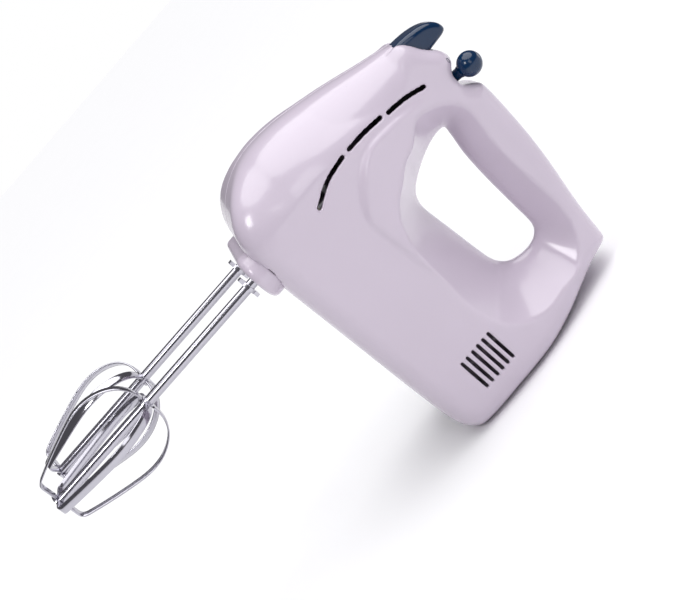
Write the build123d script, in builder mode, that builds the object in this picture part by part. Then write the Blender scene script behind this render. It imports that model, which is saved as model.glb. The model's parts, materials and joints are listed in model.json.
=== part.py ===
from build123d import *
import math
import os

os.makedirs("parts", exist_ok=True)

# A hand mixer standing on its heel. Z runs up from the heel to the nose, X from the beater tips
# through the motor body to the grip, and -Y is the mixer's left side. All sizes are millimetres.

# ---------------------------------------------------------------- driving dimensions
AXIS_Z = 146.0            # height of both beater axes above the heel
NOSE_Z = 190.0            # height of the nose tip
BEATER_Y = 20.0           # each beater axis stands this far from the middle plane
MOTOR_X = -12.0           # the motor shaft runs along Z at this X
HALF_WIDTH = 42.0         # half the width of the motor body
WALL = 2.5                # housing wall
RUN = 0.05                # radial clearance of a running fit
SIDES = {"left": -1, "right": 1}

OPENING_FLARE = 25.0      # the finger opening widens by this angle towards each side
BOSS_R = 3.6
SCREW_R = 1.5
SCREW_HEAD_R = 3.0
SCREW_SEAT_Y = 11.0       # the screw heads sit this far to the right of the middle plane
SCREW_PLACES = [(8, 16), (72, 26), (79, 100), (28, 174), (-41, 116)]

COLLAR_HALF_Z = 14.0
COLLAR_HALF_Y = 34.0
COLLAR_BOTTOM = -56.0

SHANK_R = 2.8             # beater shank
SLEEVE_R = 5.0            # spindle sleeve, outside
BUSH_R = 7.5
LOWER_PLATE = (-44.0, -41.0)
UPPER_PLATE = (0.0, 3.0)
GEAR_X = (-17.0, -7.0)
SLEEVE_X = (-54.0, 3.5)
SHANK_TOP = -27.0
PIN_TOP = 14.0

WORM_STARTS = 2
GEAR_TEETH = 31
TOOTH_PITCH = math.pi     # module 1
GEAR_PITCH_R = GEAR_TEETH / 2
WORM_PITCH_R = BEATER_Y - GEAR_PITCH_R
WORM_LEAD = WORM_STARTS * TOOTH_PITCH
WORM_Z = (134.0, 158.0)
# the thread is turned so that it points at both gears where it crosses their axes
WORM_PHASE = 90 - 360 * (AXIS_Z - WORM_Z[0]) / WORM_LEAD

MOTOR_R = 2.5             # motor shaft
BEARING_R = 6.0
BRACKET_Z = 46.0
STATOR_Z = (76.0, 102.0)
MOTOR_SCREW_PLACES = [(MOTOR_X + 18, 21.0), (MOTOR_X - 18, -21.0)]
ARMATURE_R = 14.0
AIR_GAP = 0.6
FAN_Z = (33.0, 43.0)
FAN_R = 23.0

LEVER_Z = 134.0           # the speed lever swings about a line along Z at this height ...
LEVER_X = 78.0            # ... and at this X
LEVER_LENGTH = 22.9
LEVER_REST = -28.0        # degrees towards the left side
LEVER_STEM_R = 3.0
LEVER_HUB = 8.0           # height of the lever's hub round its pin
LEVER_PIN_R = 1.5
KNOB_R = 6.8
KNOB_BORE_END = 2.0       # the knob's bore stops this far short of its centre
LEVER_SLOT = (20.0, 7.4)  # width and height of its slot in the housing

BUTTON_Z = (152.8, 168.4)
BUTTON_HALF_Y = 8.5
BUTTON_GAP = 0.5
BUTTON_FOOT = 72.0
YOKE_X = (14.3, 18.0)
STEM_HALF = 3.4
STEM_Z = 156.0
GUIDE_X = (44.0, 47.0)

GLAND_Z = 20.0
GLAND_R = 7.0
CORD_R = 3.6
GLAND_X = (-45.2, -35.0)  # from its outer face to the clamp

REAR_VENT_X = -8.5
REAR_VENT_Z = 29.3
REAR_VENT_PITCH = 4.1
REAR_VENT_LENGTH = 21.0
REAR_VENT_WIDTH = 1.7
FRONT_VENT_WIDTH = 2.2
FRONT_VENTS = [((72, 146.5), (51, 152.6)), ((46, 154.5), (24.5, 157.5)), ((18.5, 157.8), (-6.5, 151.2))]

BLADE_WIDTH = 5.2
BLADE_THICK = 1.0
BLADE_MAX_R = 26.0
LUG_X = -60.6
CAGE_TOP = -138.8
BEATER_TIP = -206.5
# blade profile as distance from the beater's axis, X and corner radius
BLADE_CORNERS = [(0, -137.8, 0.1), (11, -138.6, 12), (BLADE_MAX_R + 0.8, -150, 16),
                 (BLADE_MAX_R - 0.6, -172, 60), (12.9, BEATER_TIP, 2.2), (0, BEATER_TIP, 0.1)]


def finish(part, label):
    """Name a finished piece and write it out."""
    part.label = label
    export_step(part, f"parts/{label}.step")


def rod(plane, radius, length):
    """A plain round bar standing on a plane."""
    with BuildPart() as bar:
        with BuildSketch(plane):
            Circle(radius)
        extrude(amount=length)
    return bar.part


def ring(plane, outer, inner, length):
    """A plain round tube standing on a plane."""
    with BuildPart() as tube:
        with BuildSketch(plane):
            Circle(outer)
            Circle(inner, mode=Mode.SUBTRACT)
        extrude(amount=length)
    return tube.part


def along_x(x, y, z):
    """A plane whose normal is +X, with its local x along +Y."""
    return Plane(origin=(x, y, z), x_dir=(0, 1, 0), z_dir=(1, 0, 0))


def along_z(x, y, z):
    """A plane whose normal is +Z, with its local x along +X."""
    return Plane(origin=(x, y, z), x_dir=(1, 0, 0), z_dir=(0, 0, 1))


# ---------------------------------------------------------------- housing form
def closed_outline(corners):
    """A closed outline through corners given as (x, y, radius)."""
    with BuildSketch(Plane.XY) as drawn:
        with BuildLine():
            FilletPolyline(*[(x, y) for x, y, _ in corners], radius=[r for _, _, r in corners], close=True)
        make_face()
    return drawn.sketch


def both_halves(corners):
    """The corners of a half outline, followed by their mirror image in the first coordinate's axis."""
    return corners + [(x, -y, r) for x, y, r in reversed(corners)]


# the housing seen from its side, as X, Z and corner radius
SIDE_CORNERS = [(-45.2, 0, 10), (24, 0, 60), (83.5, 12, 4), (86, 34, 60), (93, 76, 200), (96.4, 123.5, 1.5),
                (88.6, 130, 1.5), (88.6, 138.5, 1.5), (94, 143.2, 2), (93.8, 149, 5), (83.4, 163.5, 12),
                (79, 170.5, 2.5), (5, NOSE_Z, 90), (-16, NOSE_Z, 30), (-40, 181, 20), (-49.2, 166, 12),
                (-49.2, 130, 200)]
# half of it seen from the nose, as X, Y and radius, and half of it seen along X, as Z, Y and radius
FRONT_CORNERS = [(-49.2, 31, 9), (-36, HALF_WIDTH, 20), (6, HALF_WIDTH, 130), (52, 27, 60), (80, 20.5, 26),
                 (96.6, 9.5, 9)]
PLAN_CORNERS = [(0, 30, 9), (10, 40, 12), (80, HALF_WIDTH, 200), (158, HALF_WIDTH, 56),
                (NOSE_Z + 0.2, 21, 30)]


def envelope(inset):
    """The closed form of the housing, with its surface moved inwards by inset."""
    with BuildPart() as form:
        with BuildSketch(Plane.XZ):
            add(closed_outline(SIDE_CORNERS))
            if inset:
                offset(amount=-inset, kind=Kind.INTERSECTION)
        extrude(amount=60, both=True)
        with BuildSketch(Plane.XY):
            add(closed_outline(both_halves(FRONT_CORNERS)))
            if inset:
                offset(amount=-inset, kind=Kind.INTERSECTION)
        extrude(amount=200, both=True, mode=Mode.INTERSECT)
        with BuildSketch(Plane(origin=(0, 0, 0), x_dir=(0, 0, 1), z_dir=(-1, 0, 0))):
            add(closed_outline(both_halves(PLAN_CORNERS)))
            if inset:
                offset(amount=-inset, kind=Kind.INTERSECTION)
        extrude(amount=120, both=True, mode=Mode.INTERSECT)
    return form.part


def finger_opening(growth):
    """The flared opening under the grip, made larger all round by growth."""
    with BuildPart() as opening:
        with BuildSketch(Plane.XZ) as throat:
            with BuildLine():
                Polyline((66.5, 120.5), (27.5, 109), (32, 46), (50, 36.5), (63, 38), close=True)
            make_face()
            fillet(throat.vertices(), radius=6)
            if growth:
                offset(amount=growth)
        extrude(amount=46, both=True, taper=-OPENING_FLARE)
    return opening.part


def vent_slots():
    """The vent slots, cut through both sides of the housing."""
    with BuildPart() as slots:
        with BuildSketch(Plane.XZ):
            with Locations(*[(REAR_VENT_X + REAR_VENT_PITCH * (i - 2.5), REAR_VENT_Z) for i in range(6)]):
                SlotOverall(REAR_VENT_LENGTH, REAR_VENT_WIDTH, rotation=90)
            for (x0, z0), (x1, z1) in FRONT_VENTS:
                with Locations(((x0 + x1) / 2, (z0 + z1) / 2)):
                    SlotCenterToCenter(math.dist((x0, z0), (x1, z1)), FRONT_VENT_WIDTH,
                                       rotation=math.degrees(math.atan2(z1 - z0, x1 - x0)))
        extrude(amount=60, both=True)
    return slots.part


outer = envelope(0)
opening = finger_opening(0)
inner = envelope(WALL)
cavity = inner - finger_opening(WALL)

with BuildPart() as boss_bars:
    with BuildSketch(Plane.XZ):
        with Locations(*SCREW_PLACES):
            Circle(BOSS_R)
    extrude(amount=60, both=True)
bosses = (boss_bars.part & envelope(WALL / 2)) - opening

# A pocket for every screw: head recess from the right side, then the shank's hole to its tip
with BuildPart() as screw_pockets:
    with BuildSketch(Plane.XZ.offset(-SCREW_SEAT_Y)):
        with Locations(*SCREW_PLACES):
            Circle(SCREW_HEAD_R + 0.2)
    extrude(amount=-60)
    with BuildSketch(Plane.XZ.offset(-SCREW_SEAT_Y)):
        with Locations(*SCREW_PLACES):
            Circle(SCREW_R)
    extrude(amount=SCREW_SEAT_Y + 9)

# Openings for the collar, the button, the lever and the cord inlet
with BuildPart() as openings:
    with BuildSketch(Plane.YZ.offset(COLLAR_BOTTOM)):
        with Locations((0, AXIS_Z)):
            SlotOverall(2 * COLLAR_HALF_Y, 2 * COLLAR_HALF_Z)
    extrude(amount=-41 - COLLAR_BOTTOM)
    with BuildSketch(Plane.YZ.offset(70)):
        with Locations((0, sum(BUTTON_Z) / 2)):
            Rectangle(2 * (BUTTON_HALF_Y + BUTTON_GAP), BUTTON_Z[1] - BUTTON_Z[0] + 2 * BUTTON_GAP)
    extrude(amount=40)
    with BuildSketch(Plane.YZ.offset(83)):
        with Locations((0, LEVER_Z)):
            Rectangle(LEVER_SLOT[0], LEVER_SLOT[1])
    extrude(amount=20)
    with BuildSketch(Plane.YZ.offset(-60)):
        with Locations((0, GLAND_Z)):
            Circle(GLAND_R)
    extrude(amount=30)

housing = (outer - opening - cavity) + bosses
housing = housing - screw_pockets.part - openings.part - vent_slots()

for side, keep in (("left", Keep.TOP), ("right", Keep.BOTTOM)):
    with BuildPart() as shell:
        add(housing)
        split(bisect_by=Plane.XZ, keep=keep)
    finish(shell.part, f"{side}_housing")

with BuildPart() as housing_screws:
    with BuildSketch(Plane.XZ.offset(-SCREW_SEAT_Y)):
        with Locations(*SCREW_PLACES):
            Circle(SCREW_HEAD_R)
    extrude(amount=-2)
    with BuildSketch(Plane.XZ.offset(-SCREW_SEAT_Y - 2)):
        with Locations(*SCREW_PLACES):
            Rectangle(4, 0.8)
            Rectangle(0.8, 4)
    extrude(amount=0.9, mode=Mode.SUBTRACT)
    with BuildSketch(Plane.XZ.offset(-SCREW_SEAT_Y)):
        with Locations(*SCREW_PLACES):
            Circle(SCREW_R)
    extrude(amount=SCREW_SEAT_Y + 8)
finish(housing_screws.part, "housing_screws")

# ---------------------------------------------------------------- beater collar
with BuildPart() as collar:
    with BuildSketch(Plane.YZ.offset(COLLAR_BOTTOM)):
        with Locations((0, AXIS_Z)):
            SlotOverall(2 * COLLAR_HALF_Y - 3, 2 * COLLAR_HALF_Z - 3)
    with BuildSketch(Plane.YZ.offset(COLLAR_BOTTOM + 3)):
        with Locations((0, AXIS_Z)):
            SlotOverall(2 * COLLAR_HALF_Y, 2 * COLLAR_HALF_Z)
    loft()
    with BuildSketch(Plane.YZ.offset(COLLAR_BOTTOM + 3)):
        with Locations((0, AXIS_Z)):
            SlotOverall(2 * COLLAR_HALF_Y, 2 * COLLAR_HALF_Z)
    extrude(amount=-46 - (COLLAR_BOTTOM + 3))
    with BuildSketch(Plane.YZ.offset(COLLAR_BOTTOM)):
        with Locations((-BEATER_Y, AXIS_Z), (BEATER_Y, AXIS_Z)):
            Circle(SLEEVE_R + 0.5)
    extrude(amount=20, mode=Mode.SUBTRACT)
finish(collar.part, "beater_collar")

# ---------------------------------------------------------------- gear frame and bearings
FRAME_Z = (122.0, 166.0)   # heights of the frame's two shelves, lower side and upper side
SHELF = 4.0
with BuildPart() as gear_frame:
    with BuildSketch(Plane.YZ.offset(LOWER_PLATE[0])):
        with Locations((0, sum(FRAME_Z) / 2)):
            Rectangle(60, FRAME_Z[1] - FRAME_Z[0])
        with Locations((-BEATER_Y, AXIS_Z), (BEATER_Y, AXIS_Z)):
            Circle(BUSH_R, mode=Mode.SUBTRACT)
    extrude(amount=LOWER_PLATE[1] - LOWER_PLATE[0])
    with BuildSketch(Plane.XY.offset(FRAME_Z[0])):
        with Locations(((LOWER_PLATE[1] + 9) / 2, 0)):
            Rectangle(9 - LOWER_PLATE[1], 50)
    extrude(amount=SHELF)
    with BuildSketch(Plane.XY.offset(FRAME_Z[1] - SHELF)):
        with Locations(((LOWER_PLATE[1] + UPPER_PLATE[0]) / 2, 0)):
            Rectangle(UPPER_PLATE[0] - LOWER_PLATE[1], 24)
    extrude(amount=SHELF)
    with BuildSketch(Plane.XY.offset(FRAME_Z[0])):
        with Locations((MOTOR_X, 0)):
            Circle(8)
    extrude(amount=SHELF, mode=Mode.SUBTRACT)
    with BuildSketch(Plane.XY.offset(FRAME_Z[1] - SHELF)):
        with Locations((MOTOR_X, 0)):
            Circle(BEARING_R)
    extrude(amount=SHELF, mode=Mode.SUBTRACT)
    with BuildSketch(Plane.XY.offset(FRAME_Z[0])):
        with Locations(*MOTOR_SCREW_PLACES):
            Circle(1.8)
    extrude(amount=SHELF, mode=Mode.SUBTRACT)
finish(gear_frame.part, "gear_frame")

with BuildPart() as gear_cover:
    with BuildSketch(Plane.YZ.offset(UPPER_PLATE[0])):
        with Locations((0, 148)):
            Rectangle(58, 44)
        with Locations((-BEATER_Y, AXIS_Z), (BEATER_Y, AXIS_Z)):
            Circle(SLEEVE_R + RUN, mode=Mode.SUBTRACT)
    extrude(amount=UPPER_PLATE[1] - UPPER_PLATE[0])
finish(gear_cover.part, "gear_cover")

finish(ring(along_z(MOTOR_X, 0, FRAME_Z[1] - 6), BEARING_R, MOTOR_R + RUN, 8), "front_bearing")
finish(ring(along_z(MOTOR_X, 0, BRACKET_Z), BEARING_R, MOTOR_R + RUN, 6), "rear_bearing")
for side, sign in SIDES.items():
    bush = ring(along_x(-46, sign * BEATER_Y, AXIS_Z), BUSH_R, SLEEVE_R + RUN, 7)
    finish(bush, f"spindle_bush_{side}")

with BuildPart() as rear_bracket:
    with BuildSketch(Plane.XY.offset(BRACKET_Z)):
        with Locations((MOTOR_X, 0)):
            Rectangle(16, 50)
            Circle(BEARING_R, mode=Mode.SUBTRACT)
    extrude(amount=SHELF)
    with BuildSketch(Plane.XY.offset(BRACKET_Z + SHELF)):
        with Locations((MOTOR_X, 23.5), (MOTOR_X, -23.5)):
            Rectangle(16, 3)
    extrude(amount=STATOR_Z[0] - BRACKET_Z - SHELF)
finish(rear_bracket.part, "rear_bracket")

# ---------------------------------------------------------------- motor, standing parts
BORE_R = ARMATURE_R + AIR_GAP
with BuildPart() as stator:
    with BuildSketch(Plane.XY.offset(STATOR_Z[0])):
        with Locations((MOTOR_X, 0)):
            RectangleRounded(44, 50, 4)
            Circle(BORE_R, mode=Mode.SUBTRACT)
        with Locations(*[(MOTOR_X + i * 11.75, j * 17.3) for i in (-1, 1) for j in (-1, 1)]):
            Rectangle(5, 5.2, mode=Mode.SUBTRACT)
        with Locations(*MOTOR_SCREW_PLACES):
            Circle(1.8, mode=Mode.SUBTRACT)
    extrude(amount=STATOR_Z[1] - STATOR_Z[0])
finish(stator.part, "stator_core")

with BuildPart() as coils:
    for sign in (-1, 1):
        with BuildSketch(Plane.XZ.offset(-sign * 17.3)):
            with Locations((MOTOR_X, sum(STATOR_Z) / 2)):
                RectangleRounded(28, STATOR_Z[1] - STATOR_Z[0] + 11, 4)
                Rectangle(19, STATOR_Z[1] - STATOR_Z[0] + 1, mode=Mode.SUBTRACT)
        extrude(amount=2.4, both=True)
finish(coils.part, "stator_coils")

with BuildPart() as motor_screws:
    for x, y in MOTOR_SCREW_PLACES:
        with BuildSketch(Plane.XY.offset(STATOR_Z[0] - 2.5)):
            with Locations((x, y)):
                Circle(2.6)
        extrude(amount=2.5)
        with BuildSketch(Plane.XY.offset(STATOR_Z[0])):
            with Locations((x, y)):
                Circle(1.7)
        extrude(amount=FRAME_Z[0] + SHELF - STATOR_Z[0])
finish(motor_screws.part, "motor_screws")

BRUSH_Z = 62.0
COMMUTATOR_R = 7.0
with BuildPart() as holders:
    for sign in (-1, 1):
        with BuildSketch(Plane.XZ.offset(-sign * 8.5)):
            with Locations((MOTOR_X, BRUSH_Z)):
                Rectangle(7, 8)
                Rectangle(4.6, 5.6, mode=Mode.SUBTRACT)
        extrude(amount=-sign * 13.5)
finish(holders.part, "brush_holders")

with BuildPart() as brushes:
    for sign in (-1, 1):
        with BuildSketch(Plane.XZ.offset(-sign * (COMMUTATOR_R + 0.2))):
            with Locations((MOTOR_X, BRUSH_Z)):
                Rectangle(4.4, 5.4)
        extrude(amount=-sign * 9)
finish(brushes.part, "carbon_brushes")

with BuildPart() as capacitor:
    with BuildSketch(Plane.YZ.offset(14)):
        with Locations((0, 62)):
            RectangleRounded(14, 18, 1.5)
    extrude(amount=8)
finish(capacitor.part, "suppression_capacitor")

# ---------------------------------------------------------------- motor, turning parts
finish(rod(along_z(MOTOR_X, 0, 31), MOTOR_R, 139), "motor_shaft")

WORM_ROOT = 3.4
WORM_TIP = WORM_PITCH_R + 1
with BuildSketch(Plane.XY.offset(WORM_Z[0])) as worm_section:
    with Locations((MOTOR_X, 0)):
        Circle(WORM_ROOT)
    for start in (0, 180):
        with BuildLine():
            Polyline(*[(MOTOR_X + r * math.cos(math.radians(start + a)),
                        r * math.sin(math.radians(start + a)))
                       for r, a in ((0, 0), (WORM_ROOT, -48), (WORM_TIP, -20), (WORM_TIP, 0),
                                    (WORM_TIP, 20), (WORM_ROOT, 48))], close=True)
        make_face()
    with Locations((MOTOR_X, 0)):
        Circle(MOTOR_R, mode=Mode.SUBTRACT)
worm_length = WORM_Z[1] - WORM_Z[0]
worm = Part() + Solid.extrude_linear_with_rotation(
    worm_section.sketch.faces()[0].rotate(Axis((MOTOR_X, 0, 0), (0, 0, 1)), WORM_PHASE),
    center=(MOTOR_X, 0, WORM_Z[0]), normal=(0, 0, worm_length), angle=360 * worm_length / WORM_LEAD)
finish(worm, "worm")

with BuildPart() as core:
    with BuildSketch(Plane.XY.offset(STATOR_Z[0])):
        with Locations((MOTOR_X, 0)):
            Circle(ARMATURE_R)
            Circle(MOTOR_R, mode=Mode.SUBTRACT)
        with Locations((MOTOR_X, 0)):
            with PolarLocations(ARMATURE_R - 3, 11):
                Rectangle(7, 2, mode=Mode.SUBTRACT)
    extrude(amount=STATOR_Z[1] - STATOR_Z[0])
finish(core.part, "armature_core")

with BuildPart() as windings:
    for z in (STATOR_Z[0] - 6, STATOR_Z[1]):
        with BuildSketch(Plane.XY.offset(z)):
            with Locations((MOTOR_X, 0)):
                Circle(12.5)
                Circle(4, mode=Mode.SUBTRACT)
        extrude(amount=6)
    fillet(windings.edges().filter_by(GeomType.CIRCLE).sort_by(SortBy.RADIUS)[-4:], radius=2)
finish(windings.part, "armature_windings")

with BuildPart() as commutator:
    with BuildSketch(Plane.XY.offset(BRUSH_Z - 5)):
        with Locations((MOTOR_X, 0)):
            Circle(COMMUTATOR_R)
            Circle(MOTOR_R, mode=Mode.SUBTRACT)
            with PolarLocations(COMMUTATOR_R, 22):
                Rectangle(1, 0.4, mode=Mode.SUBTRACT)
    extrude(amount=11)
finish(commutator.part, "commutator")

with BuildPart() as fan:
    with BuildSketch(Plane.XY.offset(FAN_Z[1] - 1.5)):
        with Locations((MOTOR_X, 0)):
            Circle(FAN_R)
    extrude(amount=1.5)
    with BuildSketch(Plane.XY.offset(FAN_Z[0])):
        with Locations((MOTOR_X, 0)):
            Circle(5)
            with PolarLocations(14, 9):
                Rectangle(17, 1.2, rotation=25)
    extrude(amount=FAN_Z[1] - FAN_Z[0] - 1.5)
    with BuildSketch(Plane.XY.offset(FAN_Z[0])):
        with Locations((MOTOR_X, 0)):
            Circle(MOTOR_R)
    extrude(amount=FAN_Z[1] - FAN_Z[0], mode=Mode.SUBTRACT)
finish(fan.part, "cooling_fan")

# ---------------------------------------------------------------- spindles and their gears
GEAR_TIP = GEAR_PITCH_R + 0.8
GEAR_ROOT = GEAR_PITCH_R - 1.2
TOOTH_TURN = 360 / GEAR_TEETH
lead_angle = math.atan2(WORM_LEAD, 2 * math.pi * WORM_PITCH_R)
face_width = GEAR_X[1] - GEAR_X[0]
gear_twist = math.degrees(face_width * math.tan(lead_angle) / GEAR_PITCH_R)

for side, sign in SIDES.items():
    y = sign * BEATER_Y
    with BuildSketch(Plane.XY) as gear_section:
        Circle(GEAR_ROOT)
        for tooth in range(GEAR_TEETH):
            with BuildLine():
                Polyline(*[(r * math.cos(math.radians((tooth + 0.5) * TOOTH_TURN + a)),
                            r * math.sin(math.radians((tooth + 0.5) * TOOTH_TURN + a)))
                           for r, a in ((GEAR_ROOT - 0.5, -3.4), (GEAR_ROOT, -3.4), (GEAR_TIP, -1.2),
                                        (GEAR_TIP, 1.2), (GEAR_ROOT, 3.4), (GEAR_ROOT - 0.5, 3.4))],
                         close=True)
            make_face()
        Circle(SLEEVE_R, mode=Mode.SUBTRACT)
    # local x points from the gear towards the worm, so a tooth gap faces it half way along the gear
    placed = Plane(origin=(GEAR_X[0], y, AXIS_Z), x_dir=(0, -sign, 0), z_dir=(1, 0, 0))
    section = placed.from_local_coords(gear_section.sketch.faces()[0])
    section = section.rotate(Axis((0, y, AXIS_Z), (1, 0, 0)), -gear_twist / 2)
    gear = Part() + Solid.extrude_linear_with_rotation(
        section, center=(GEAR_X[0], y, AXIS_Z), normal=(face_width, 0, 0), angle=gear_twist)
    finish(gear, f"spindle_gear_{side}")
    sleeve = ring(along_x(SLEEVE_X[0], y, AXIS_Z), SLEEVE_R, SHANK_R + RUN, SLEEVE_X[1] - SLEEVE_X[0])
    finish(sleeve, f"spindle_sleeve_{side}")
    clip = ring(along_x(GEAR_X[1], y, AXIS_Z), SLEEVE_R + 2.5, SLEEVE_R, 1)
    finish(clip, f"retaining_clip_{side}")

    # ejector pin, which pushes the beater's shank out of the sleeve
    with BuildPart() as pin:
        with BuildSketch(along_x(SHANK_TOP, y, AXIS_Z)):
            Circle(SHANK_R)
        extrude(amount=PIN_TOP - 2 - SHANK_TOP)
        with BuildSketch(along_x(PIN_TOP - 2, y, AXIS_Z)):
            Circle(SHANK_R + 2)
        extrude(amount=2)
    finish(pin.part, f"ejector_pin_{side}")

    # beater: a shank through the whole cage, lugs, a ferrule, four blades and a foot
    with BuildPart() as shank:
        with BuildSketch(along_x(BEATER_TIP, y, AXIS_Z)):
            Circle(SHANK_R)
        extrude(amount=SHANK_TOP - BEATER_TIP)
        chamfer(shank.edges().sort_by(Axis.X)[-1], length=0.8)
    finish(shank.part, f"beater_shank_{side}")

    with BuildPart() as lugs:
        with BuildSketch(along_x(LUG_X - 1, y, AXIS_Z)):
            Circle(4.2)
            Rectangle(3.6, 13)
            Circle(SHANK_R, mode=Mode.SUBTRACT)
        extrude(amount=2)
    finish(lugs.part, f"beater_lugs_{side}")

    with BuildPart() as hubs:
        with BuildSketch(along_x(CAGE_TOP - 2, y, AXIS_Z)):
            Circle(4)
            Circle(SHANK_R, mode=Mode.SUBTRACT)
        extrude(amount=3)
        with BuildSketch(along_x(BEATER_TIP - 1.2, y, AXIS_Z)):
            Circle(5)
        extrude(amount=1.2)
    finish(hubs.part, f"beater_hubs_{side}")

    phase = 0 if side == "left" else 45
    with BuildPart() as blades:
        for quarter in range(4):
            turn = math.radians(phase + 90 * quarter)
            radial = (0, math.cos(turn), math.sin(turn))
            across = (0, math.sin(turn), -math.cos(turn))
            with BuildSketch(Plane(origin=(0, y, AXIS_Z), x_dir=radial, z_dir=across)):
                with BuildLine():
                    FilletPolyline(*[(r, x) for r, x, _ in BLADE_CORNERS],
                                   radius=[c for _, _, c in BLADE_CORNERS], close=True)
                make_face()
                offset(amount=-BLADE_THICK, kind=Kind.INTERSECTION, mode=Mode.SUBTRACT)
                with Locations((-16, -170)):
                    Rectangle(40, 120, mode=Mode.SUBTRACT)
            extrude(amount=BLADE_WIDTH / 2, both=True)
    finish(blades.part, f"beater_blades_{side}")

# ---------------------------------------------------------------- ejector
with BuildPart() as button:
    with BuildSketch(Plane.XZ):
        with BuildLine():
            FilletPolyline((BUTTON_FOOT, BUTTON_Z[0]), (BUTTON_FOOT, BUTTON_Z[1]), (92.4, BUTTON_Z[1]),
                           (103.6, 163), (103.4, BUTTON_Z[0]), radius=[0.5, 0.5, 10, 6, 2.5], close=True)
        make_face()
    extrude(amount=BUTTON_HALF_Y, both=True)
finish(button.part, "eject_button")

with BuildPart() as yoke:
    with BuildSketch(Plane.YZ.offset(YOKE_X[0])):
        with Locations((0, 150)):
            RectangleRounded(54, 20, 3)
    extrude(amount=YOKE_X[1] - YOKE_X[0])
    with BuildSketch(Plane.YZ.offset(YOKE_X[1])):
        with Locations((0, STEM_Z)):
            Rectangle(2 * STEM_HALF, 2 * STEM_HALF)
    extrude(amount=BUTTON_FOOT - YOKE_X[1])
finish(yoke.part, "ejector_yoke")

with BuildPart() as guide:
    with BuildSketch(Plane.YZ.offset(GUIDE_X[0])):
        with Locations((0, 160)):
            Rectangle(30, 30)
        with Locations((0, STEM_Z)):
            Rectangle(2 * STEM_HALF + 0.6, 2 * STEM_HALF + 0.6, mode=Mode.SUBTRACT)
    extrude(amount=GUIDE_X[1] - GUIDE_X[0])
finish(guide.part, "ejector_guide")

SPRING_R = 6.2
SPRING_WIRE = 0.5
spring_low = GUIDE_X[1] + SPRING_WIRE + 0.1
spring_length = BUTTON_FOOT - SPRING_WIRE - 0.1 - spring_low
with BuildPart() as spring:
    with BuildLine():
        coil = Helix(pitch=spring_length / 5, height=spring_length, radius=SPRING_R,
                     center=(spring_low, 0, STEM_Z), direction=(1, 0, 0))
    with BuildSketch(Plane(coil @ 0, z_dir=coil % 0)):
        Circle(SPRING_WIRE)
    sweep(path=coil, is_frenet=True)
finish(spring.part, "eject_spring")

# ---------------------------------------------------------------- speed lever and switch
rest = math.radians(LEVER_REST)
lever_dir = (math.cos(rest), math.sin(rest), 0)
lever_foot = Plane(origin=(LEVER_X, 0, LEVER_Z), x_dir=(0, 0, 1), z_dir=lever_dir)
with BuildPart() as lever:
    with BuildSketch(along_z(LEVER_X, 0, LEVER_Z - LEVER_HUB / 2)):
        Circle(5)
    extrude(amount=LEVER_HUB)
    with BuildSketch(lever_foot):
        Circle(LEVER_STEM_R)
    extrude(amount=LEVER_LENGTH - KNOB_BORE_END)
    with BuildSketch(along_z(LEVER_X, 0, LEVER_Z - LEVER_HUB / 2)):
        Circle(LEVER_PIN_R + RUN)
    extrude(amount=LEVER_HUB, mode=Mode.SUBTRACT)
finish(lever.part, "speed_lever")

# the ball knob is pushed onto the end of the lever
knob_centre = lever_foot.origin + lever_foot.z_dir * LEVER_LENGTH
with BuildPart() as knob:
    with BuildSketch(Plane(origin=knob_centre, x_dir=lever_dir, z_dir=(0, 0, 1))):
        Circle(KNOB_R)
        with Locations((0, -KNOB_R)):
            Rectangle(2 * KNOB_R, 2 * KNOB_R, mode=Mode.SUBTRACT)
        with Locations((-KNOB_BORE_END - KNOB_R / 2, 0)):
            Rectangle(KNOB_R, 2 * LEVER_STEM_R, mode=Mode.SUBTRACT)
    revolve(axis=Axis(knob_centre, lever_dir))
finish(knob.part, "speed_knob")
finish(rod(along_z(LEVER_X, 0, LEVER_Z - LEVER_HUB / 2), LEVER_PIN_R, 12.5), "lever_pin")

with BuildPart() as switch:
    with BuildSketch(Plane.XY.offset(LEVER_Z - 2)):
        with Locations((60, 0)):
            Rectangle(20, 18)
    extrude(amount=17)
    with BuildSketch(Plane.XY.offset(LEVER_Z + 4.5)):
        with Locations((76, 0)):
            Rectangle(12, 14)
        with Locations((LEVER_X, 0)):
            Circle(LEVER_PIN_R, mode=Mode.SUBTRACT)
    extrude(amount=4)
finish(switch.part, "speed_switch")

# ---------------------------------------------------------------- cord inlet
CLAMP_THICK = 5.0
with BuildPart() as gland:
    with BuildSketch(along_x(GLAND_X[0], 0, GLAND_Z)):
        Circle(GLAND_R)
    extrude(amount=GLAND_X[1] - GLAND_X[0])
    with BuildSketch(along_x(-42, 0, GLAND_Z)):
        Circle(GLAND_R + 2)
    extrude(amount=2)
    with BuildSketch(along_x(GLAND_X[0], 0, GLAND_Z)):
        Circle(CORD_R)
    extrude(amount=GLAND_X[1] - GLAND_X[0], mode=Mode.SUBTRACT)
finish(gland.part, "cord_inlet")

with BuildPart() as clamp:
    with BuildSketch(Plane.YZ.offset(GLAND_X[1])):
        with Locations((0, GLAND_Z)):
            RectangleRounded(24, 12, 2)
            Circle(CORD_R, mode=Mode.SUBTRACT)
        with Locations((-8, GLAND_Z), (8, GLAND_Z)):
            Circle(1.5, mode=Mode.SUBTRACT)
    extrude(amount=CLAMP_THICK)
finish(clamp.part, "cord_clamp")

with BuildPart() as clamp_screws:
    for y in (-8, 8):
        with BuildSketch(along_x(GLAND_X[1], y, GLAND_Z)):
            Circle(1.5)
        extrude(amount=CLAMP_THICK)
        with BuildSketch(along_x(GLAND_X[1] + CLAMP_THICK, y, GLAND_Z)):
            Circle(2.8)
        extrude(amount=1.8)
finish(clamp_screws.part, "clamp_screws")
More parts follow.
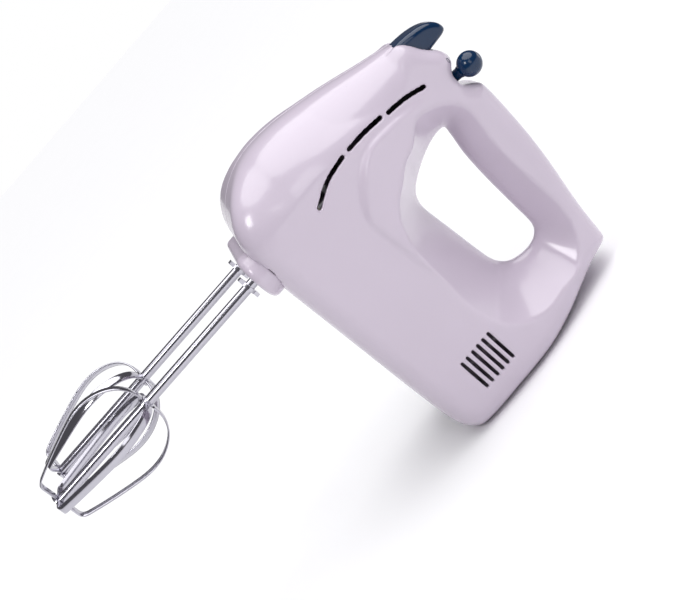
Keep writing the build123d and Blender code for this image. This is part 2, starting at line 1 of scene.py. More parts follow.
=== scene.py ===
"""Looks of the hand mixer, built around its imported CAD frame. It stands on its heel, nose up."""
import json
import math
import bmesh
import bpy
import numpy as np
from mathutils import Matrix, Vector
from mathutils.bvhtree import BVHTree


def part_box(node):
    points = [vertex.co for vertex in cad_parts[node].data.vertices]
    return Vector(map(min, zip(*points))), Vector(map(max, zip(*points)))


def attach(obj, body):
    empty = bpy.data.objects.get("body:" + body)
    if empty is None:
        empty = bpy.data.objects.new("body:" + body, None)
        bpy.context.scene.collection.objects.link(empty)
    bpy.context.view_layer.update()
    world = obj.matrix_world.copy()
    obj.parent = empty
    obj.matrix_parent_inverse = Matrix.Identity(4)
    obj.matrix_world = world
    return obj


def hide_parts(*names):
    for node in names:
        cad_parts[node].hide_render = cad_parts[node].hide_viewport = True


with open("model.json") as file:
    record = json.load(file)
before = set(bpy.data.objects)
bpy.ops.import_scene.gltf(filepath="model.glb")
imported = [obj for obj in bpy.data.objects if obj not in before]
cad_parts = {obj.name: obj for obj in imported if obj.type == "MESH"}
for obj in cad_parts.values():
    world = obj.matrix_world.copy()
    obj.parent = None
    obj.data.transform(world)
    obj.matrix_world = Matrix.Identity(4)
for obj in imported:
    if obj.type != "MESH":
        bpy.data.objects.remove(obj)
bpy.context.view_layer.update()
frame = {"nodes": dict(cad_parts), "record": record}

MM = 0.001
SIDES = {"left": -1, "right": 1}

# ------------------------------------------------------------------ places read from the frame
shell_low, shell_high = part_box("left_housing")
NOSE_Z = shell_high.z / MM
BOTTOM_X = shell_low.x / MM
HALF_WIDTH = -shell_low.y / MM
shank_low, shank_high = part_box("beater_shank_right")
BEATER_Y = (shank_low.y + shank_high.y) / 2 / MM
AXIS_Z = (shank_low.z + shank_high.z) / 2 / MM
knob_low, knob_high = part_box("speed_knob")
KNOB = (knob_low + knob_high) / 2 / MM
KNOB_R = (knob_high.z - knob_low.z) / 2 / MM
pin_low, pin_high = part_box("lever_pin")
LEVER_AXIS = ((pin_low.x + pin_high.x) / 2 / MM, (pin_low.y + pin_high.y) / 2 / MM)
button_low, button_high = [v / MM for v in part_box("eject_button")]
collar_low, collar_high = [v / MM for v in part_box("beater_collar")]
gland_low, gland_high = [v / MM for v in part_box("cord_inlet")]
blades_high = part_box("beater_blades_left")[1] / MM
screw_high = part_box("housing_screws")[1] / MM


# ------------------------------------------------------------------ small geometry helpers
def catmull(points, steps, closed=True):
    """A smooth curve through points, as an array of points along it."""
    p = np.array(points, float)
    n = len(p)
    t = np.linspace(0, 1, steps, endpoint=False)[:, None]
    spans = range(n) if closed else range(n - 1)
    out = []
    for i in spans:
        if closed:
            a, b, c, d = p[i - 1], p[i], p[(i + 1) % n], p[(i + 2) % n]
        else:
            a, b, c, d = p[max(i - 1, 0)], p[i], p[i + 1], p[min(i + 2, n - 1)]
        out.append(0.5 * (2 * b + (c - a) * t + (2 * a - 5 * b + 4 * c - d) * t ** 2
                          + (3 * b - a - 3 * c + d) * t ** 3))
    if not closed:
        out.append(p[-1:])
    return np.vstack(out)


def smoothstep(x, low, high):
    """0 below low, 1 above high and smooth between; low may be the larger."""
    t = np.clip((x - low) / (high - low), 0, 1)
    return t * t * (3 - 2 * t)


def line_distance(px, pz, line, closed):
    """Distance of plane points to a polyline; negative inside when it is closed."""
    q = np.stack([px.ravel(), pz.ravel()], 1)
    a = line
    b = np.roll(line, -1, 0)
    if not closed:
        a, b = a[:-1], b[:-1]
    best = np.full(len(q), 1e9)
    inside = np.zeros(len(q), bool)
    for (ax, az), (bx, bz) in zip(a, b):
        ux, uz = bx - ax, bz - az
        t = np.clip(((q[:, 0] - ax) * ux + (q[:, 1] - az) * uz) / (ux * ux + uz * uz + 1e-12), 0, 1)
        best = np.minimum(best, (q[:, 0] - ax - t * ux) ** 2 + (q[:, 1] - az - t * uz) ** 2)
        if closed:
            crosses = (az > q[:, 1]) != (bz > q[:, 1])
            side = q[:, 0] < ux * (q[:, 1] - az) / (uz if uz else 1e-12) + ax
            inside ^= crosses & side
    far = np.sqrt(best)
    if closed:
        far = np.where(inside, -far, far)
    return far.reshape(px.shape)


def both(a, b, r):
    """What is inside both a and b, with their edge rounded to radius r."""
    return np.minimum(np.maximum(a, b), -r) + np.hypot(np.maximum(a + r, 0), np.maximum(b + r, 0))


def cut(a, b):
    """What is inside a and outside b."""
    return np.maximum(a, -b)


def link(name, verts, faces):
    """A new smooth-shaded mesh object, from vertices in millimetres."""
    mesh = bpy.data.meshes.new(name)
    mesh.from_pydata((np.asarray(verts, float) * MM).tolist(), [], np.asarray(faces).tolist())
    mesh.update()
    mesh.shade_smooth()
    obj = bpy.data.objects.new(name, mesh)
    bpy.context.scene.collection.objects.link(obj)
    return obj


def skin(name, axes, f, relax=2):
    """The zero surface of a field sampled on the grid lines in axes, as a quad mesh; negative is solid."""
    inside = f < 0
    shape = [n - 1 for n in f.shape]
    full = sum(inside[x:x + shape[0], y:y + shape[1], z:z + shape[2]].astype(np.int8)
               for x in (0, 1) for y in (0, 1) for z in (0, 1))
    active = (full > 0) & (full < 8)
    index = np.full(shape, -1)
    index[active] = np.arange(active.sum())
    total = np.zeros((active.sum(), 4))
    quads = []
    for axis in range(3):
        lower = [slice(None)] * 3
        upper = [slice(None)] * 3
        lower[axis] = slice(None, -1)
        upper[axis] = slice(1, None)
        i = np.array(np.nonzero(inside[tuple(lower)] != inside[tuple(upper)]))
        j = i.copy()
        j[axis] += 1
        fa = f[tuple(i)]
        t = fa / (fa - f[tuple(j)])
        at = np.stack([axes[k][i[k]] for k in range(3)], 1)
        at[:, axis] += t * (axes[axis][j[axis]] - axes[axis][i[axis]])
        u, v = [k for k in range(3) if k != axis]
        ring = []
        for du, dv in ((1, 1), (0, 1), (0, 0), (1, 0)):
            c = i.copy()
            c[u] -= du
            c[v] -= dv
            valid = (c[u] >= 0) & (c[v] >= 0) & (c[u] < shape[u]) & (c[v] < shape[v])
            ids = np.where(valid, index[tuple(np.clip(c, 0, np.array(shape)[:, None] - 1))], -1)
            ring.append(ids)
            good = ids >= 0
            for k in range(3):
                total[:, k] += np.bincount(ids[good], at[good, k], len(total))
            total[:, 3] += np.bincount(ids[good], minlength=len(total))
        ring = np.stack(ring, 1)
        flip = (fa < 0) ^ (axis == 1)
        ring[~flip] = ring[~flip][:, ::-1]
        quads.append(ring[(ring >= 0).all(1)])
    verts = total[:, :3] / total[:, 3:]
    quads = np.vstack(quads)
    for _ in range(relax):
        sums = np.zeros((len(verts), 4))
        for a, b in ((0, 1), (1, 2), (2, 3), (3, 0)):
            for p, q in ((a, b), (b, a)):
                for k in range(3):
                    sums[:, k] += np.bincount(quads[:, p], verts[quads[:, q], k], len(verts))
                sums[:, 3] += np.bincount(quads[:, p], minlength=len(verts))
        verts = 0.5 * verts + 0.5 * sums[:, :3] / sums[:, 3:]
    return link(name, verts, quads)


def grid(low, high, step, fine=()):
    """Grid lines from low to high at a step, with finer steps inside the given stretches."""
    lines = [np.arange(low, high + step, step)]
    for a, b, small in fine:
        lines = [x[(x < a - small / 2) | (x > b + small / 2)] for x in lines]
        lines.append(np.arange(a, b + small / 2, small))
    return np.sort(np.concatenate(lines))


def lathe(name, profile, place, steps=48):
    """A turned piece: profile is (along, radius) pairs in millimetres, and place maps +Z to its axis."""
    verts = []
    faces = []
    n = len(profile)
    for k in range(steps):
        a = 2 * math.pi * k / steps
        for along, r in profile:
            verts.append(place @ Vector((r * math.cos(a), r * math.sin(a), along)))
    for k in range(steps):
        m = (k + 1) % steps
        for i in range(n - 1):
            faces.append((k * n + i, m * n + i, m * n + i + 1, k * n + i + 1))
    obj = link(name, [tuple(v) for v in verts], faces)
    bm = bmesh.new()
    bm.from_mesh(obj.data)
    bmesh.ops.remove_doubles(bm, verts=bm.verts, dist=1e-6)
    bmesh.ops.dissolve_degenerate(bm, edges=bm.edges, dist=1e-7)
    bmesh.ops.recalc_face_normals(bm, faces=bm.faces)
    bm.to_mesh(obj.data)
    bm.free()
    obj.data.shade_smooth()
    return obj


# ------------------------------------------------------------------ materials
def material(slot, color, roughness, metallic=0.0, coat=0.0, grain=600.0, bump=0.02, mottle=0.04,
             pattern="noise", spread=0.06):
    """A procedural finish: colour, roughness and relief all vary with a pattern in the object's own space."""
    mat = bpy.data.materials.new(slot + "_finish")
    mat.use_nodes = True
    tree = mat.node_tree
    shader = tree.nodes["Principled BSDF"]
    shader.inputs["Metallic"].default_value = metallic
    shader.inputs["Coat Weight"].default_value = coat
    shader.inputs["Coat Roughness"].default_value = 0.06
    space = tree.nodes.new("ShaderNodeTexCoord")
    broad = tree.nodes.new("ShaderNodeTexNoise")
    broad.inputs["Scale"].default_value = 18
    broad.inputs["Detail"].default_value = 3
    if pattern == "wave_x" or pattern == "wave_z":
        fine = tree.nodes.new("ShaderNodeTexWave")
        fine.bands_direction = "X" if pattern == "wave_x" else "Z"
        fine.inputs["Distortion"].default_value = 0.4
    else:
        fine = tree.nodes.new("ShaderNodeTexNoise")
        fine.inputs["Detail"].default_value = 4
    fine.inputs["Scale"].default_value = grain
    for node in (broad, fine):
        tree.links.new(space.outputs["Object"], node.inputs["Vector"])
    ramp = tree.nodes.new("ShaderNodeValToRGB")
    ramp.color_ramp.elements[0].position = 0.3
    ramp.color_ramp.elements[1].position = 0.7
    ramp.color_ramp.elements[0].color = [*[c * (1 - mottle) for c in color], 1]
    ramp.color_ramp.elements[1].color = [*[min(1, c * (1 + mottle)) for c in color], 1]
    mix = tree.nodes.new("ShaderNodeMath")
    mix.operation = "MULTIPLY_ADD"
    mix.inputs[1].default_value = 0.25 if pattern == "noise" else 0.9
    source = fine.outputs["Fac"]
    tree.links.new(source, mix.inputs[0])
    tree.links.new(broad.outputs["Fac"], mix.inputs[2])
    tree.links.new(mix.outputs[0], ramp.inputs["Fac"])
    tree.links.new(ramp.outputs["Color"], shader.inputs["Base Color"])
    rough = tree.nodes.new("ShaderNodeMapRange")
    rough.inputs["To Min"].default_value = max(0.02, roughness - spread)
    rough.inputs["To Max"].default_value = roughness + spread
    tree.links.new(broad.outputs["Fac"], rough.inputs["Value"])
    tree.links.new(rough.outputs["Result"], shader.inputs["Roughness"])
    relief = tree.nodes.new("ShaderNodeBump")
    relief.inputs["Strength"].default_value = bump
    relief.inputs["Distance"].default_value = 0.0003
    tree.links.new(source, relief.inputs["Height"])
    tree.links.new(relief.outputs["Normal"], shader.inputs["Normal"])
    return mat


FINISHES = {
    "shell": material("shell", (0.575, 0.505, 0.600), 0.22, coat=0.35, grain=900, bump=0.015,
                      mottle=0.015),
    "control": material("control", (0.0004, 0.018, 0.060), 0.16, grain=900, bump=0.015, mottle=0.10),
    "beater_metal": material("beater_metal", (0.46, 0.45, 0.50), 0.15, metallic=1, grain=300, bump=0.006,
                             mottle=0.04, spread=0.04),
    "steel": material("steel", (0.50, 0.50, 0.53), 0.30, metallic=1, grain=1800, bump=0.08),
    "lamination": material("lamination", (0.25, 0.25, 0.27), 0.42, metallic=0.9, grain=900, bump=0.6,
                           pattern="wave_z"),
    "bronze": material("bronze", (0.60, 0.40, 0.18), 0.38, metallic=1, grain=1600, bump=0.15),
    "commutator_copper": material("commutator_copper", (0.72, 0.38, 0.22), 0.28, metallic=1, grain=1200,
                                  bump=0.2),
    "winding": material("winding", (0.50, 0.17, 0.05), 0.30, metallic=0.7, grain=700, bump=0.8,
                        pattern="wave_x"),
    "gear_plastic": material("gear_plastic", (0.80, 0.77, 0.66), 0.45, grain=1000, bump=0.06),
    "frame_metal": material("frame_metal", (0.62, 0.63, 0.66), 0.45, metallic=1, grain=800, bump=0.3),
    "black_plastic": material("black_plastic", (0.02, 0.02, 0.023), 0.42, grain=1500, bump=0.12,
                              mottle=0.15),
    "carbon": material("carbon", (0.03, 0.03, 0.032), 0.7, grain=2000, bump=0.3),
    "capacitor_case": material("capacitor_case", (0.50, 0.35, 0.04), 0.4, grain=900, bump=0.08),
    "ink": material("ink", (0.12, 0.12, 0.16), 0.5, grain=1500, bump=0.05),
}


def dress(obj, slot, body, *nodes, finish=None):
    """Give a piece its finish, body and the CAD nodes that it stands for."""
    obj.data.materials.clear()
    obj.data.materials.append(FINISHES[finish or slot])
    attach(obj, body)
    if nodes:
        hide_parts(*nodes)
    return obj


for part in frame["record"]["subparts"]:
    node = frame["nodes"][part["node"]]
    for k in range(max(1, len(node.material_slots))):
        if not node.material_slots:
            node.data.materials.append(FINISHES[part["material_slot"]])
        node.material_slots[k].material = FINISHES[part["material_slot"]]

# ------------------------------------------------------------------ housing
# the housing seen from its side, and the finger opening at the middle plane, as X and Z
OUTLINE = [(-33, 0.2), (-6, 0.2), (20, 0.2), (39, 2.6), (53, 5.6), (66, 8.3), (75, 10.6), (81.6, 12.4),
           (83.3, 14.8), (84.2, 22), (85.8, 35), (88.4, 50), (91.8, 68), (94, 84), (95.2, 98),
           (95.9, 110), (96, 120), (95.2, 123), (91, 126.8), (88.8, 129.4), (88.2, 133), (88.6, 136.6),
           (90.6, 139.4), (93, 141.8), (93.7, 144.4), (93.6, 147.4), (92, 151), (89.2, 154.6),
           (86.4, 158.6), (84.3, 163), (81.8, 166.8), (79, 169.2), (74.5, 170.8), (68.5, 172.4),
           (59, 175.2), (48, 178.7), (37, 182), (27, 184.6), (18, 186.8), (9, 188.6), (0, 189.6),
           (-9, 189.8), (-17, 188.8), (-24, 186.8), (-32, 183), (-38.6, 178), (-44, 171.6),
           (-47.4, 164.5), (-48.8, 156), (-49, 146), (-48.8, 129), (-48, 100), (-47.2, 70),
           (-46.2, 40), (-45.4, 22), (-43.9, 11.5), (-40.6, 4.8)]
THROAT = [(67.2, 119), (60, 119.6), (50, 117), (40, 112.5), (33.5, 108), (30.2, 103), (29.3, 96), (30.6, 80),
          (32, 62), (33.2, 51), (35.4, 45), (39.6, 40.4), (46, 38), (53, 37.6), (59, 40), (62.3, 45.5),
          (62.8, 60), (63.2, 80), (64.6, 100), (67, 113)]
# half the width at each X, and how it is scaled at each height Z
WIDTHS = [(-52, 39), (-40, 40.6), (-20, 41.2), (0, 40.2), (20, 37.2), (40, 31.6), (56, 26), (68, 21.4),
          (78, 18.2), (88, 17.2), (100, 17)]
# outer edge of the raised band that starts between the slots and the opening and sweeps under the opening
BAND = [(86, 134), (76, 139.5), (66, 144.5), (50, 149.5), (34.5, 151.8), (26, 150), (19, 146), (11.3, 139),
        (5.4, 131.5), (3.4, 125), (3.6, 117), (4.4, 107), (5.4, 95), (7, 80), (9.4, 64), (13.4, 49), (19.5, 36),
        (30, 27), (60, 40), (84, 74)]
BAND_RISE = 2.0
EDGE_ROUND = 13           # radius of the edges between the sides and the outline ...
NOSE_ROUND = 20           # ... this much more at the nose ...
GRIP_SHARPER = 4.5        # ... and this much less along the grip
TAPER = [(0, 0.915), (20, 0.955), (50, 0.985), (100, 1), (140, 1), (160, 0.985), (175, 0.955), (190, 0.93)]
WALL = 2.4
SCOOP_ROUND = 5.0
RIM_ROUND = 0.7
SEAM = 0.12

FRONT_VENTS = [[(73, 146), (62, 150.4), (50.5, 153.2)], [(46.2, 154.8), (35, 156.9), (24, 157.9)],
               [(19, 158), (5.5, 156.3), (-7, 150.8)]]
FRONT_VENT_HALF = 1.05
REAR_VENT_X = [-8.5 + 4.1 * (k - 2.5) for k in range(6)]
REAR_VENT_Z = (18.3, 39.7)
REAR_VENT_HALF = 0.84
SCREWS = [(8, 16), (72, 26), (79, 100), (28, 174), (-41, 116)]


def smooth_table(table, x):
    """A table of values joined by a smooth curve."""
    dense = catmull(table, 8, closed=False)
    return np.interp(x, dense[:, 0], dense[:, 1])


def housing_form(gx, gy, gz):
    """The housing's outer form as a field on the grid."""
    x2, z2 = np.meshgrid(gx, gz, indexing="ij")
    side = line_distance(x2, z2, catmull(OUTLINE, 4), True)
    throat = line_distance(x2, z2, catmull(THROAT, 5), True)
    width = smooth_table(WIDTHS, x2) * smooth_table(TAPER, z2)
    nose = smoothstep(x2, -46, -12) * smoothstep(z2, 132, 172) * smoothstep(x2, 84, 56)
    radius = EDGE_ROUND + NOSE_ROUND * nose - GRIP_SHARPER * smoothstep(x2, 64, 80)
    radius = np.minimum(radius, width - 1)
    band = line_distance(x2, z2, catmull(BAND, 4), True)
    width = width + BAND_RISE * smoothstep(band, 1.2, -3.2) * smoothstep(x2, 76, 52)
    # slope of the scoop from the middle plane to its rim, steeper under the grip than below the opening
    flare = 0.62 + 0.34 * smoothstep(x2, 44, 62) + 0.16 * smoothstep(z2, 95, 50)
    flare = flare - 0.08 * smoothstep(z2, 80, 110) * smoothstep(x2, 40, 28)
    y = gy[None, :, None]
    body = both(side[:, None, :], np.abs(y) - width[:, None, :], radius[:, None, :])
    k = flare[:, None, :]
    opened = k * (np.sqrt(y * y + SCOOP_ROUND ** 2) - SCOOP_ROUND)
    slope = k * y / np.sqrt(y * y + SCOOP_ROUND ** 2)
    scoop = (opened - throat[:, None, :]) / np.sqrt(1 + slope ** 2)
    return both(body, scoop, RIM_ROUND)


def housing_openings(gx, gy, gz, side):
    """Everything that is cut out of the housing wall, as a field that is negative in the cuts."""
    x, y, z = gx[:, None, None], gy[None, :, None], gz[None, None, :]
    x2, z2 = np.meshgrid(gx, gz, indexing="ij")
    well_z = (button_low.z + button_high.z) / 2
    well = np.maximum(np.abs(y) + button_low.y - 0.5, np.abs(z - well_z) - (button_high.z - well_z) - 0.5)
    well = np.maximum(well, 72 - x)
    slot = np.maximum(np.maximum(np.abs(y) - 10, np.abs(z - KNOB.z) - 3.7), 82 - x)
    straight = (collar_high.y - collar_low.y) / 2 - (collar_high.z - collar_low.z) / 2
    ring = np.hypot(np.maximum(np.abs(y) - straight, 0), z - AXIS_Z)
    ring = ring - (collar_high.z - collar_low.z) / 2 - 0.15
    ring = np.maximum(ring, x + 42)
    gland = np.maximum(np.hypot(y, z - (gland_low.z + gland_high.z) / 2) - 7.1, x + 38)
    rear = np.full(x2.shape, 1e3)
    middle = sum(REAR_VENT_Z) / 2
    half = (REAR_VENT_Z[1] - REAR_VENT_Z[0]) / 2 - REAR_VENT_HALF
    for vx in REAR_VENT_X:
        straight_vent = np.hypot(x2 - vx, np.maximum(np.abs(z2 - middle) - half, 0)) - REAR_VENT_HALF
        rear = np.minimum(rear, straight_vent)
    for line in FRONT_VENTS:
        vent = line_distance(x2, z2, catmull(line, 8, closed=False), False) - FRONT_VENT_HALF
        rear = np.minimum(rear, vent)
    vents = np.maximum(rear[:, None, :], 10 - np.abs(y))
    cuts = np.minimum(np.minimum(well, slot), np.minimum(np.minimum(ring, gland), vents))
    if side > 0:
        heads = np.full(x2.shape, 1e3)
        for sx, sz in SCREWS:
            heads = np.minimum(heads, np.hypot(x2 - sx, z2 - sz) - 3.2)
        cuts = np.minimum(cuts, np.maximum(heads[:, None, :], screw_high.y - 2 - y))
    return cuts


COARSE = 1.0              # the grids' usual step, in mm
gx = grid(BOTTOM_X - 1.5, shell_high.x / MM + 1.5, COARSE, [(-21, 4, 0.4), (84, 96.5, 0.6)])
gz = grid(-1.5, NOSE_Z + 1.5, COARSE, [(16.5, 20.5, 0.5), (37.5, 41.5, 0.5), (145, 160, 0.6)])
shells = {}
for side, sign in SIDES.items():
    half = np.concatenate([[-0.3], grid(0, HALF_WIDTH + 1.5, COARSE, [(0, 1.6, 0.2)])])
    gy = half if sign > 0 else -half[::-1]
    form = housing_form(gx, gy, gz)
    wall = cut(form, form + WALL)
    wall = cut(wall, housing_openings(gx, gy, gz, sign))
    half_space = SEAM - sign * gy[None, :, None]
    wall = both(wall, half_space, 0.35)
    shell = skin(f"{side}_shell", (gx, gy, gz), wall, relax=3)
    shells[side] = dress(shell, "shell", "housing", f"{side}_housing")

left_skin = BVHTree.FromObject(shells["left"], bpy.context.evaluated_depsgraph_get())
right_skin = BVHTree.FromObject(shells["right"], bpy.context.evaluated_depsgraph_get())

# bosses that carry the housing screws, seen through the head recesses; each ends just under the outer skin
RECESS_BORE = 3.25
RECESS_RIM = 4.6
for number, (sx, sz) in enumerate(SCREWS):
    skin_y = []
    for a in np.linspace(0, 2 * math.pi, 12, endpoint=False):
        start = Vector((sx + 5.0 * math.cos(a), HALF_WIDTH + 20, sz + 5.0 * math.sin(a))) * MM
        hit, _, _, _ = right_skin.ray_cast(start, Vector((0, -1, 0)))
        if hit is not None:
            skin_y.append(hit.y / MM)
    top = min(14, min(skin_y) - 0.8 - screw_high.y)
    place = Matrix.Translation((sx, screw_high.y, sz)) @ Matrix.Rotation(-math.pi / 2, 4, "X")
    profile = [(-2, RECESS_BORE), (-2, RECESS_RIM), (top, RECESS_RIM), (top, RECESS_BORE),
               (-2, RECESS_BORE)]
    dress(lathe(f"screw_recess_{number}", profile, place, 32), "shell", "housing")

# ------------------------------------------------------------------ collar round the beater sockets
cx = grid(collar_low.x - 1, collar_high.x + 1, 0.5)
cy = grid(collar_low.y - 1, collar_high.y + 1, 0.8)
cz = grid(collar_low.z - 1, collar_high.z + 1, 0.7)
x, y, z = cx[:, None, None], cy[None, :, None], cz[None, None, :]
radius = (collar_high.z - collar_low.z) / 2
straight = (collar_high.y - collar_low.y) / 2 - radius
oval = np.hypot(np.maximum(np.abs(y) - straight, 0), z - AXIS_Z) - radius
body = both(oval, collar_low.x - x, 3.5)
body = np.maximum(body, x - collar_high.x)
sockets = np.hypot(np.abs(y) - BEATER_Y, z - AXIS_Z) - 5.5
lip = np.maximum(np.hypot(np.abs(y) - BEATER_Y, z - AXIS_Z) - 7.4, x - collar_low.x - 0.8)
body = cut(cut(body, sockets), lip)
dress(skin("collar", (cx, cy, cz), body, relax=1), "shell", "housing", "beater_collar")

# ------------------------------------------------------------------ eject button
FIN = [(72.2, 152.9), (72.2, 160.4), (72.2, 168.2), (78, 168.2), (84.4, 167.7), (90, 166.7), (95.4, 165.1),
       (99.8, 162.6), (102.4, 159.6), (103.4, 156.6), (103, 154.2), (100.4, 153.1), (95.5, 152.9), (84, 152.8)]
bx = grid(button_low.x - 1, button_high.x + 1, 0.5)
by = grid(button_low.y - 1, button_high.y + 1, 0.5)
bz = grid(button_low.z - 1, button_high.z + 1, 0.5)
x2, z2 = np.meshgrid(bx, bz, indexing="ij")
fin = line_distance(x2, z2, catmull(FIN, 5), True)
half = button_high.y - 0.1 - 2.4 * smoothstep(x2, 88, 104)
y = by[None, :, None]
dimple = np.sqrt((bx[:, None, None] - 96) ** 2 / 1.2 + y * y + (bz[None, None, :] - 180) ** 2) - 13.5
press = both(fin[:, None, :], np.abs(y) - half[:, None, :], 3.2)
press = both(press, -dimple, 1.5)
dress(skin("button", (bx, by, bz), press, relax=2), "control", "ejector", "eject_button")

# ------------------------------------------------------------------ speed lever and its ball
foot = Vector((LEVER_AXIS[0], LEVER_AXIS[1], KNOB.z))
stem_dir = (KNOB - foot).normalized()
length = (KNOB - foot).length
stem_turn = Vector((0, 0, 1)).rotation_difference(stem_dir).to_matrix().to_4x4()
stem_place = Matrix.Translation(foot) @ stem_turn
STEM = [(1.6, 0), (1.6, 4.2), (4, 4.4), (6, 3.6), (8, 3.0), (12, 2.9), (length - 7.5, 3.0),
        (length - 6.4, 3.4), (length - 5.6, 3.6), (length - 4, 3.4), (length - 4, 0)]
dress(lathe("lever_stem", STEM, stem_place), "control", "speed_control", "speed_lever")
ball = [(length + KNOB_R * -math.cos(a), KNOB_R * 0.995 * math.sin(a))
        for a in np.linspace(0.5, math.pi - 0.25, 30)]
ball = [(length - KNOB_R * 0.87, 0)] + ball + [(length + KNOB_R * 0.955, 1.2), (length + KNOB_R * 0.945, 0)]
dress(lathe("ball_knob", ball, stem_place, 64), "control", "speed_control", "speed_knob")

# ------------------------------------------------------------------ beater blades
# one blade as its distance from the beater's axis and how far it lies below the cage's top
BLADE_DROP = [(4.0, 0.6), (8, 0.8), (13, 2.2), (18, 5.6), (22, 11), (24.6, 17.5), (25.5, 24), (25.0, 31),
              (23.0, 40), (19.6, 52), (16, 63), (14.4, 66.6), (12.2, 68.0), (8, 68.1), (4.0, 68.1)]
BLADE = [(r, blades_high.x - drop) for r, drop in BLADE_DROP]
BLADE_HALF = 2.6
BLADE_THICK = 0.95
ROUND = 0.28


def ribbon(name, centre_y, turns):
    """Flat strips bent along the blade line, one at each turn about the beater's axis."""
    line = catmull(BLADE, 8, closed=False)
    along = np.gradient(line, axis=0)
    along /= np.linalg.norm(along, axis=1)[:, None]
    normal = np.stack([along[:, 1], -along[:, 0]], 1)
    t, w, c = BLADE_THICK / 2, BLADE_HALF, ROUND
    section = [(-t, -w + c), (-t, 0), (-t, w - c), (-t + c, w), (t - c, w), (t, w - c), (t, 0), (t, -w + c),
               (t - c, -w), (-t + c, -w)]
    verts = []
    faces = []
    for turn in turns:
        base = len(verts)
        out = np.array([math.cos(turn), math.sin(turn)])
        across = np.array([-math.sin(turn), math.cos(turn)])
        for (r, bx_), (nr, nx_) in zip(line, normal):
            for a, b in section:
                yz = out * (r + a * nr) + across * b
                verts.append((bx_ + a * nx_, centre_y + yz[0], AXIS_Z + yz[1]))
        n = len(section)
        for i in range(len(line) - 1):
            for j in range(n):
                m = (j + 1) % n
                low, high = base + i * n, base + (i + 1) * n
                faces.append((low + j, low + m, high + m, high + j))
        faces.append(tuple(base + j for j in range(n)))
        faces.append(tuple(base + (len(line) - 1) * n + j for j in reversed(range(n))))
    mesh = bpy.data.meshes.new(name)
    mesh.from_pydata([tuple(MM * c for c in v) for v in verts], [], faces)
    bm = bmesh.new()
    bm.from_mesh(mesh)
    bmesh.ops.recalc_face_normals(bm, faces=bm.faces)
    bm.to_mesh(mesh)
    bm.free()
    mesh.shade_smooth()
    obj = bpy.data.objects.new(name, mesh)
    bpy.context.scene.collection.objects.link(obj)
    sharp = obj.modifiers.new("crisp", "EDGE_SPLIT")
    sharp.split_angle = math.radians(50)
    return obj


for side, sign in SIDES.items():
    start = 0 if side == "left" else math.pi / 4
    strips = ribbon(f"blades_{side}", sign * BEATER_Y, [start + k * math.pi / 2 for k in range(4)])
    dress(strips, "beater_metal", f"beater_{side}", f"beater_blades_{side}")

# ------------------------------------------------------------------ speed numerals beside the lever
NUMERAL_Z = 0.1443
NUMERAL_SIZE = 0.0042
for digit, across in enumerate(np.linspace(-14.0, 14.0, 6)):
    tree = left_skin if across < 0 else right_skin
    ray = Vector((0.06, across * MM * 0.2, NUMERAL_Z))
    target = Vector((0.0905, across * MM, NUMERAL_Z))
    start = target + (target - ray).normalized() * 0.04
    hit, normal, _, _ = tree.ray_cast(start, (ray - target).normalized())
    curve = bpy.data.curves.new(f"numeral_{digit}", "FONT")
    curve.body = str(digit)
    curve.size = NUMERAL_SIZE
    curve.extrude = 0.00004
    curve.align_x = "CENTER"
    curve.align_y = "CENTER"
    numeral = bpy.data.objects.new(f"numeral_{digit}", curve)
    bpy.context.scene.collection.objects.link(numeral)
    up = Vector((0, 0, 1))
    right = up.cross(normal).normalized()
    top = normal.cross(right)
    turn = Matrix((right, top, normal)).transposed().to_4x4()
    numeral.matrix_world = Matrix.Translation(hit + normal * 0.00003) @ turn
    dress(numeral, "black_plastic", "housing", finish="ink")

# ------------------------------------------------------------------ floor, light and camera
floor_mesh = bpy.data.meshes.new("floor")
floor_mesh.from_pydata([(-4, -4, 0), (4, -4, 0), (4, 4, 0), (-4, 4, 0)], [], [(0, 1, 2, 3)])
floor = bpy.data.objects.new("floor", floor_mesh)
bpy.context.scene.collection.objects.link(floor)
paper = material("floor", (0.93, 0.93, 0.94), 0.6, grain=40, bump=0.0, mottle=0.004)
paper.node_tree.nodes["Principled BSDF"].inputs["Specular IOR Level"].default_value = 0
floor_mesh.materials.append(paper)


def area_light(name, place, aim, size, power):
    """A soft rectangular light."""
    lamp = bpy.data.lights.new(name, "AREA")
    lamp.shape = "RECTANGLE"
    lamp.size, lamp.size_y = size
    lamp.energy = power
    obj = bpy.data.objects.new(name, lamp)
    bpy.context.scene.collection.objects.link(obj)
    obj.location = place
    obj.rotation_euler = (Vector(aim) - Vector(place)).to_track_quat("-Z", "Y").to_euler()


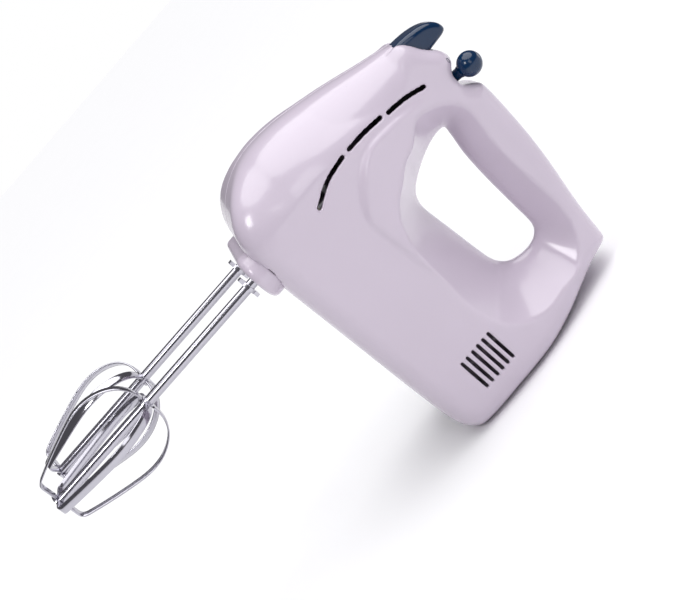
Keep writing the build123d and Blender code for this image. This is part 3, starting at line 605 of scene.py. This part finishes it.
sun = bpy.data.objects.new("overhead", bpy.data.lights.new("overhead", "SUN"))
sun.data.energy = 3.15
sun.data.angle = math.radians(72)
sun.rotation_euler = (math.radians(0), math.radians(24), 0)
bpy.context.scene.collection.objects.link(sun)
area_light("nose", (-0.42, -0.62, 0.95), (-0.02, 0, 0.16), (0.30, 0.30), 3.0)
area_light("front", (0.25, -1.3, 0.75), (0, 0, 0.1), (0.5, 0.8), 2.4)
world = bpy.data.worlds.new("studio")
bpy.context.scene.world = world
world.use_nodes = True
sky = world.node_tree
surround = sky.nodes["Background"]
surround.inputs["Color"].default_value = (0.90, 0.88, 0.95, 1)
surround.inputs["Strength"].default_value = 0.14
backdrop = sky.nodes.new("ShaderNodeBackground")
backdrop.inputs["Color"].default_value = (1, 1, 1, 1)
rays = sky.nodes.new("ShaderNodeLightPath")
blend = sky.nodes.new("ShaderNodeMixShader")
sky.links.new(rays.outputs["Is Camera Ray"], blend.inputs["Fac"])
sky.links.new(surround.outputs[0], blend.inputs[1])
sky.links.new(backdrop.outputs[0], blend.inputs[2])
sky.links.new(blend.outputs[0], sky.nodes["World Output"].inputs["Surface"])

CAMERA_PLACE = Vector((0.0, -0.6235, 0.3065))
CAMERA_YAW = math.radians(18.8)      # measured about X, towards the heel
CAMERA_PITCH = math.radians(2.9)     # towards the beater tips
CAMERA_ROLL = math.radians(41.5)
LENS = 63.7
level = Vector((0, math.cos(CAMERA_YAW), -math.sin(CAMERA_YAW)))
forward = level * math.cos(CAMERA_PITCH) + Vector((-1, 0, 0)) * math.sin(CAMERA_PITCH)
up0 = Vector((1, 0, 0)) * math.cos(CAMERA_PITCH) + level * math.sin(CAMERA_PITCH)
right0 = forward.cross(up0)
up = up0 * math.cos(CAMERA_ROLL) - right0 * math.sin(CAMERA_ROLL)
right = right0 * math.cos(CAMERA_ROLL) + up0 * math.sin(CAMERA_ROLL)
camera = bpy.data.objects.new("camera", bpy.data.cameras.new("camera"))
bpy.context.scene.collection.objects.link(camera)
camera.data.lens = LENS
camera.matrix_world = Matrix.Translation(CAMERA_PLACE) @ Matrix((right, up, -forward)).transposed().to_4x4()
bpy.context.scene.camera = camera
bpy.context.scene.view_settings.view_transform = "Standard"
